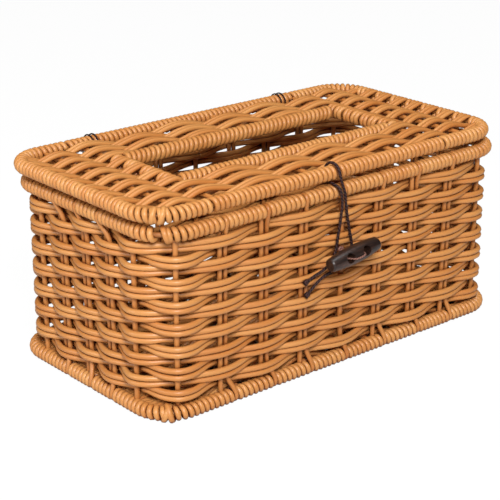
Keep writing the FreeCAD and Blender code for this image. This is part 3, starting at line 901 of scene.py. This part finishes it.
# %% Lid ribs
RIB_REACH = RIM_HALF_WIDTH - 1
whole = [np.linspace(-RIB_REACH, RIB_REACH, 40)]
halves = [sign * np.linspace(SLOT_HALF_WIDTH + 1, RIB_REACH, 20) for sign in (-1, 1)]
rib_paths = []
for x in ribs:
    for y in whole if abs(x) > SLOT_HALF_LENGTH + 1 else halves:
        rib_paths.append(to_lid(np.column_stack([np.full_like(y, x), y, np.zeros_like(y)])))
strand_object("lid_cross_ribs", rib_paths, LID_RIB, "lid", rod_cane_painted_shade, "lid_ribs", seed=41)
print("lid ribs:", len(rib_paths))

# %% [markdown]
# ## The lid's winding
# The lid's rim is wound like the others, and the turns make room for the strands that are turned over it. An array
# modifier could repeat one turn, but it couldn't leave such gaps, so each stretch between gaps is its own helix.

# %% Lid rim winding
PAIR_WIDTH = 4 * LID_STRAND + 0.2
LID_BREAKS = (-85.5, 76.5)
LID_GAP = 1.2
breaks = [(rim_ring.place_of(x, y), LID_GAP) for x in LID_BREAKS for y in (-RIM_HALF_WIDTH, RIM_HALF_WIDTH)]
for number, (_, _, at_rim) in enumerate(pairs):
    for sign in (-1, 1):
        if rim_end(sign, abs(at_rim) + LID_STRAND, number)[2]:
            breaks.append((rim_ring.place_of(sign * RIM_HALF_LENGTH, at_rim), PAIR_WIDTH))
paths = [
    wound_path(rim_ring, a, b, LID_HEIGHT, WIND_RADIUS, -LID_SET_LEFT, wind_rng)
    for a, b in stretches(breaks, rim_ring.length)
]
paths.append(slanted_turn(near_corner + 3.5, -4.0, LID_HEIGHT, WIND_RADIUS + 0.6, -LID_SET_LEFT))
paths.append(slanted_turn(near_corner - 0.5, -2.5, LID_HEIGHT, WIND_RADIUS + 0.4, -LID_SET_LEFT))
strand_object("lid_rim_winding", paths, WOUND_RADIUS, "lid", wound_cane, "lid_rim_binding", seed=42)
print("lid rim winding in", len(paths), "stretches")


# %% [markdown]
# ## The slot's frame
# Four straight bars frame the slot. The long bars are wound from end to end, and the short ones only between the
# strands that turn over them. A straight helix needs no ring, so it has its own short function.

# %% Slot frame winding
def bar_winding(start, end, pitch):
    """A helix round a straight bar of the slot between two points of the lid's plane."""
    start, end = np.array(start, float), np.array(end, float)
    way = end - start
    length = np.linalg.norm(way)
    way /= length
    out = np.array([-way[1], way[0]])
    turns = max(1, round(length / pitch))
    t = np.linspace(0, 1, turns * 14 + 1)
    turn = -2 * math.pi * turns * t - math.pi / 2
    xy = start + way * (length * t)[:, None] + out * (BAR_WIND * np.cos(turn))[:, None]
    return to_lid(np.column_stack([xy, BAR_WIND * np.sin(turn)]))


BAR_MARGIN = 1.2
SHORT_BAR_PITCH = 2.9
long_end = SLOT_HALF_LENGTH - SLOT_BAR - 0.2
bar_half = SLOT_EDGE - WOUND_RADIUS
paths = []
for sign in (-1, 1):
    y = sign * SLOT_HALF_WIDTH
    paths.append(bar_winding((sign * long_end, y), (-sign * long_end, y), WIND_PITCH))
    turned = [y for n, (group, y, _) in enumerate(pairs) if group == "ends" and bar_end(sign, n)[2]]
    edges = [-bar_half] + [y + d * PAIR_WIDTH / 2 for y in turned for d in (-1, 1)] + [bar_half]
    for low, high in zip(edges[::2], edges[1::2]):
        if high - low > WOUND_RADIUS:
            ends = [(sign * SLOT_HALF_LENGTH, y) for y in (low + BAR_MARGIN, high - BAR_MARGIN)]
            paths.append(bar_winding(*ends, SHORT_BAR_PITCH))
strand_object("slot_frame_winding", paths, WOUND_RADIUS, "lid", wound_cane,
              "slot_frame_binding", seed=43)
print("slot frame winding in", len(paths), "pieces")

# %% [markdown]
# ## The floor of the box
# It is hardly seen: the same weave lies flat inside the foot rim. Straight strands that swing over and under the ribs
# are enough for it, and they stop inside the rim.

# %% Floor weave
BASE_HEIGHT = 5.0
BASE_GAPS = 10
BASE_PAIRS = 20
BASE_SWING = 2.85
BASE_STRAND = 1.5
BASE_RIB_REACH = 60.5
base_edge = RIM_HALF_LENGTH - RIM_RADIUS - 0.6
base_width = RIM_HALF_WIDTH - RIM_RADIUS - 0.2
base_ribs = np.array([base_edge * (2 * i / BASE_GAPS - 1) for i in range(1, BASE_GAPS)])
paths = []
for i in range(2 * BASE_PAIRS):
    across = (i + 0.5) * base_width / BASE_PAIRS - base_width
    reach = rim_inside(across) - 2.0
    met = [(k, x) for k, x in enumerate(base_ribs) if abs(x) < reach - 3]
    knots = np.array([-reach] + [x for _, x in met] + [reach])
    values = np.array([0.0] + [(BASE_SWING if (k + i // 2) % 2 else -BASE_SWING) for k, _ in met] + [0.0])
    x = np.linspace(-reach, reach, 110)
    paths.append(np.column_stack([x, np.full_like(x, across), BASE_HEIGHT + swing(x, knots, values)]))
strand_object("floor_strands", paths, BASE_STRAND, "basket", strand_cane,
              "base_weave", 8, seed=50, floor=0.1)
paths = [np.array([(x, y, BASE_HEIGHT) for y in np.linspace(-BASE_RIB_REACH, BASE_RIB_REACH, 30)]) for x in base_ribs]
strand_object("floor_ribs", paths, STAKE_RADIUS, "basket", rod_cane_painted_shade, "base_ribs", 8, seed=51)
print("floor strands:", 2 * BASE_PAIRS)

# %% [markdown]
# ## The toggle
# A turned barrel of dark stained wood with two holes. A lathe makes it round, so its outline is spun about its axis,
# and the holes are cut with a boolean and then rounded at the edge, as sanding leaves them.

# %% Wood finish
STREAK_FROM, STREAK_TO, STREAK_SHARE = 0.46, 0.70, 0.8


def wood_finish(name, light, dark):
    finish = Finish(name)
    place = finish.node("ShaderNodeTexCoord")[3]
    squeezed = finish.node("ShaderNodeVectorMath", {"operation": "MULTIPLY"}, {0: place, 1: (60.0, 900.0, 900.0)})[0]
    grain = finish.noise(squeezed, 0.8, 6.0, 0.65)
    streak = finish.node("ShaderNodeMapRange", {}, {0: grain, 1: STREAK_FROM, 2: STREAK_TO, 4: STREAK_SHARE})[0]
    fine = finish.noise(squeezed, 3.0, 4.0, 0.6)
    finish.set(Base_Color=finish.mix(streak, dark, light), Roughness=fine * 0.2 + 0.28)
    finish.set(Coat_Weight=0.15, Coat_Roughness=0.2)
    finish.bump(grain + fine * 0.4, 0.25, 0.0003)
    return finish.material


toggle_wood = wood_finish("toggle_wood", (0.070, 0.028, 0.017), (0.0125, 0.0062, 0.0048))
print("wood finish:", toggle_wood.name)

# %% [markdown]
# ## Shaping the toggle
# The outline is spun into a mesh about the long axis. Two cylinders then drill it, with a boolean for each, and a
# bevel breaks the sharp edges. Modelling it lying straight and tilting it last keeps every number simple.

# %% Toggle
TOGGLE_HALF = 17.0
TOGGLE_RADIUS = 5.0
TOGGLE_END = 3.5
TOGGLE_SIDES = 56
HOLE_RADIUS = 2.7
HOLE_PLACE = 5.8
TOGGLE_TILT = math.radians(8.0)
TOGGLE_ROLL = math.radians(16.0)
toggle_low, toggle_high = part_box("toggle")
toggle_middle = (toggle_low + toggle_high) / 2
place_toggle = Matrix.Translation(toggle_middle) @ Matrix.Rotation(-TOGGLE_TILT, 4, "Y")


def toggle_outline():
    """The barrel's radius along its length, with softened end edges."""
    x = np.linspace(-TOGGLE_HALF, TOGGLE_HALF, 61)
    r = TOGGLE_RADIUS - (TOGGLE_RADIUS - TOGGLE_END) * (x / TOGGLE_HALF) ** 2
    edge = np.clip((TOGGLE_HALF - np.abs(x)) / 0.7, 0, 1)
    return x, r - 0.5 * (1 - np.sqrt(1 - (1 - edge) ** 2))


def toggle_body():
    x, r = toggle_outline()
    rings, _ = swept_rings([(place, 0.0, 0.0) for place in x], r, TOGGLE_SIDES)
    mesh = bpy.data.meshes.new("toggle_barrel")
    mesh.from_pydata((rings.reshape(-1, 3) * MM).tolist(), [], tube_faces(len(x), TOGGLE_SIDES))
    return mesh


barrel = bpy.data.objects.new("toggle_barrel", toggle_body())
bpy.context.scene.collection.objects.link(barrel)
for sign in (-1, 1):
    bpy.ops.mesh.primitive_cylinder_add(
        vertices=40, radius=HOLE_RADIUS * MM, depth=4 * TOGGLE_RADIUS * MM,
        rotation=(math.pi / 2 - TOGGLE_ROLL, 0, 0), location=(sign * HOLE_PLACE * MM, 0, 0),
    )
    drill = bpy.context.active_object
    hole = barrel.modifiers.new("hole", "BOOLEAN")
    hole.object = drill
    hole.solver = "EXACT"
    bpy.context.view_layer.update()
    shaped = bpy.data.meshes.new_from_object(barrel.evaluated_get(bpy.context.evaluated_depsgraph_get()))
    barrel.modifiers.clear()
    barrel.data = shaped
    bpy.data.objects.remove(drill)
barrel.data.transform(place_toggle)
barrel.data.polygons.foreach_set("use_smooth", np.ones(len(barrel.data.polygons), bool))
soften = barrel.modifiers.new("soft_edges", "BEVEL")
soften.width = 0.4 * MM
soften.segments = 3
soften.limit_method = "ANGLE"
soften.angle_limit = math.radians(40)
barrel.data.materials.clear()
barrel.data.materials.append(toggle_wood)
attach(barrel, "toggle")
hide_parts("toggle")
print("toggle at", [round(v / MM, 1) for v in toggle_middle], "mm")

# %% [markdown]
# ## The toggle's tie
# A thin cord comes through the wall, goes up one hole, across the front and back down the other. It turns with the
# toggle, so its route is written in the toggle's own space and carried along by the same placement.

# %% Toggle tie
TIE_CORD_RADIUS = 0.5
_, tie_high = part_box("toggle_tie")
knot_depth = (tie_high[1] - toggle_middle[1]) / MM - 1.75
bridge_depth = -TOGGLE_RADIUS - TIE_CORD_RADIUS - 0.05
bridge_height = TOGGLE_RADIUS * math.tan(TOGGLE_ROLL) - 1.2
tie_half = [
    (0.9, knot_depth, 0.0), (0.9, TOGGLE_RADIUS + 2.4, -0.4), (2.0, TOGGLE_RADIUS + 0.9, -1.0),
    (HOLE_PLACE - 0.6, TOGGLE_RADIUS + 0.6, -1.4), (HOLE_PLACE, TOGGLE_RADIUS - 1.0, -1.2), (HOLE_PLACE, 0.0, 0.0),
    (HOLE_PLACE - HOLE_RADIUS + 1.2, -TOGGLE_RADIUS + 1.4, bridge_height),
    (HOLE_PLACE - HOLE_RADIUS + 0.3, bridge_depth, bridge_height),
]
tie_route = [(-x, y, z) for x, y, z in tie_half] + [(0.0, bridge_depth - 0.1, bridge_height - 0.3)] + tie_half[::-1]
tie_line = np.array([place_toggle @ Vector(p * MM for p in point) for point in spline_points(tie_route)]) / MM
knot_centre = np.array(place_toggle @ Vector((0, knot_depth * MM, 0))) / MM
tie_paths = [tie_line, knot_path(knot_centre, KNOT_SIZE)]
strand_object("toggle_cord", tie_paths, [TIE_CORD_RADIUS, CORD_RADIUS], "toggle", tie_cord,
              "toggle_tie", 12)
print("tie", round(run_along(tie_line)[-1], 1), "mm long")

# %% [markdown]
# ## Rods inside the rims
# The rods inside the windings show only through the gaps between turns. Their solids are the right shape, so they stay
# and only get a finish. They have no strand coordinates, so the noise runs in the object's own space.


# %% Core finish
def core_finish(name, light, dark):
    finish = Finish(name)
    place = finish.node("ShaderNodeTexCoord")[3]
    cloud = finish.noise(place, 220.0, 4.0, 0.6)
    finish.set(Base_Color=finish.mix(cloud, dark, light), Roughness=cloud * 0.2 + 0.4)
    finish.bump(cloud, 0.2, 0.0003)
    return finish.material


# The rods inside the rims are a darker brown than the cane: painted shade, so that the gaps between the turns read as
# dark grooves.
core_cane_painted_shade = core_finish("core_cane_painted_shade", (0.40, 0.15, 0.036), (0.25, 0.085, 0.018))
for node in ("foot_rim_core", "body_rim_core", "lid_rim_core", "slot_frame_core"):
    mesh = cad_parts[node].data
    mesh.materials.clear()
    mesh.materials.append(core_cane_painted_shade)
print("rods inside the rims:", core_cane_painted_shade.name)

# %% [markdown]
# ## Floor and light
# A pale floor carries the soft shadow, and large soft lamps stand for a studio's softboxes. The background is white to
# the camera only, so that it doesn't light the box. The floor under the box stays in its shade, so that no white shows
# through the weave from below.

# %% Floor
FLOOR_SIZE = 30.0
FLOOR_GLOW = 1.06
GLOW_SHARE = 0.9
bpy.ops.mesh.primitive_plane_add(size=FLOOR_SIZE, location=(0, 0, -0.0002))
floor = bpy.context.active_object
floor.name = "studio_floor"
floor_finish = Finish("studio_floor")
floor_finish.set(Base_Color=(0.60, 0.60, 0.60, 1.0), Roughness=0.9, Specular_IOR_Level=0.0)
rays = floor_finish.node("ShaderNodeLightPath")
glow = floor_finish.node("ShaderNodeEmission", {}, {"Color": (1, 1, 1, 1), "Strength": FLOOR_GLOW})[0]
floor_x, floor_y, _ = floor_finish.node(
    "ShaderNodeSeparateXYZ", {}, {0: floor_finish.node("ShaderNodeTexCoord")[3]})
under_box = (abs(floor_x) < (RIM_HALF_LENGTH - RIM_RADIUS) * MM) * (abs(floor_y) < (RIM_HALF_WIDTH - RIM_RADIUS) * MM)
seen = rays[0] * (1 - under_box) * GLOW_SHARE
surface = Signal(floor_finish, floor_finish.shader.outputs[0])
blend = floor_finish.node("ShaderNodeMixShader", {}, {0: seen, 1: surface, 2: glow})[0]
floor_finish.feed(floor_finish.tree.nodes["Material Output"].inputs["Surface"], blend)
floor.data.materials.append(floor_finish.material)
print("floor:", floor.name)

# %% [markdown]
# ## The world behind it
# The world gives a little even light to soften the deepest shadows. Seen directly by the camera it is plain white, so
# a Light Path node picks one background for camera rays and another for all others.

# %% World
AMBIENT_COLOUR = (1.0, 0.985, 0.96, 1.0)
AMBIENT_LEVEL = 0.03
world = bpy.data.worlds.new("studio")
bpy.context.scene.world = world
sky = Finish("studio", world)
sky.tree.nodes.clear()
ambient = sky.node("ShaderNodeBackground", {}, {"Color": AMBIENT_COLOUR, "Strength": AMBIENT_LEVEL})[0]
backdrop = sky.node("ShaderNodeBackground", {}, {"Color": (1, 1, 1, 1), "Strength": 1.0})[0]
camera_ray = sky.node("ShaderNodeLightPath")[0]
choose = sky.node("ShaderNodeMixShader", {}, {0: camera_ray, 1: ambient, 2: backdrop})[0]
sky.node("ShaderNodeOutputWorld", {}, {"Surface": choose})
print("world:", world.name)


# %% [markdown]
# ## Softboxes
# Three area lamps: a key from the camera's left, a weak one overhead and one on the left side. Their size sets how soft
# the shadows are: small lamps make hard lines in the weave, and very large ones leave no shadow between the strands.
# These are 0.5 to 0.7 m wide, two to three times the length of the box.

# %% Lamps
def softbox(name, place, aim, size, watts):
    data = bpy.data.lights.new(name, "AREA")
    data.shape = "SQUARE"
    data.size = size
    data.energy = watts
    lamp = bpy.data.objects.new(name, data)
    lamp.location = place
    lamp.rotation_mode = "QUATERNION"
    lamp.rotation_quaternion = (Vector(aim) - Vector(place)).to_track_quat("-Z", "Y")
    bpy.context.scene.collection.objects.link(lamp)


MIDDLE = (0.0, 0.0, 0.05)
softbox("key_light", (-0.75, -1.1, 1.05), MIDDLE, 0.5, 30.0)
softbox("top_light", (0.1, -0.2, 1.5), MIDDLE, 0.7, 7.0)
softbox("fill_light", (-1.5, 0.2, 0.6), MIDDLE, 0.6, 8.0)
print("lamps:", [light.name for light in bpy.data.lights])
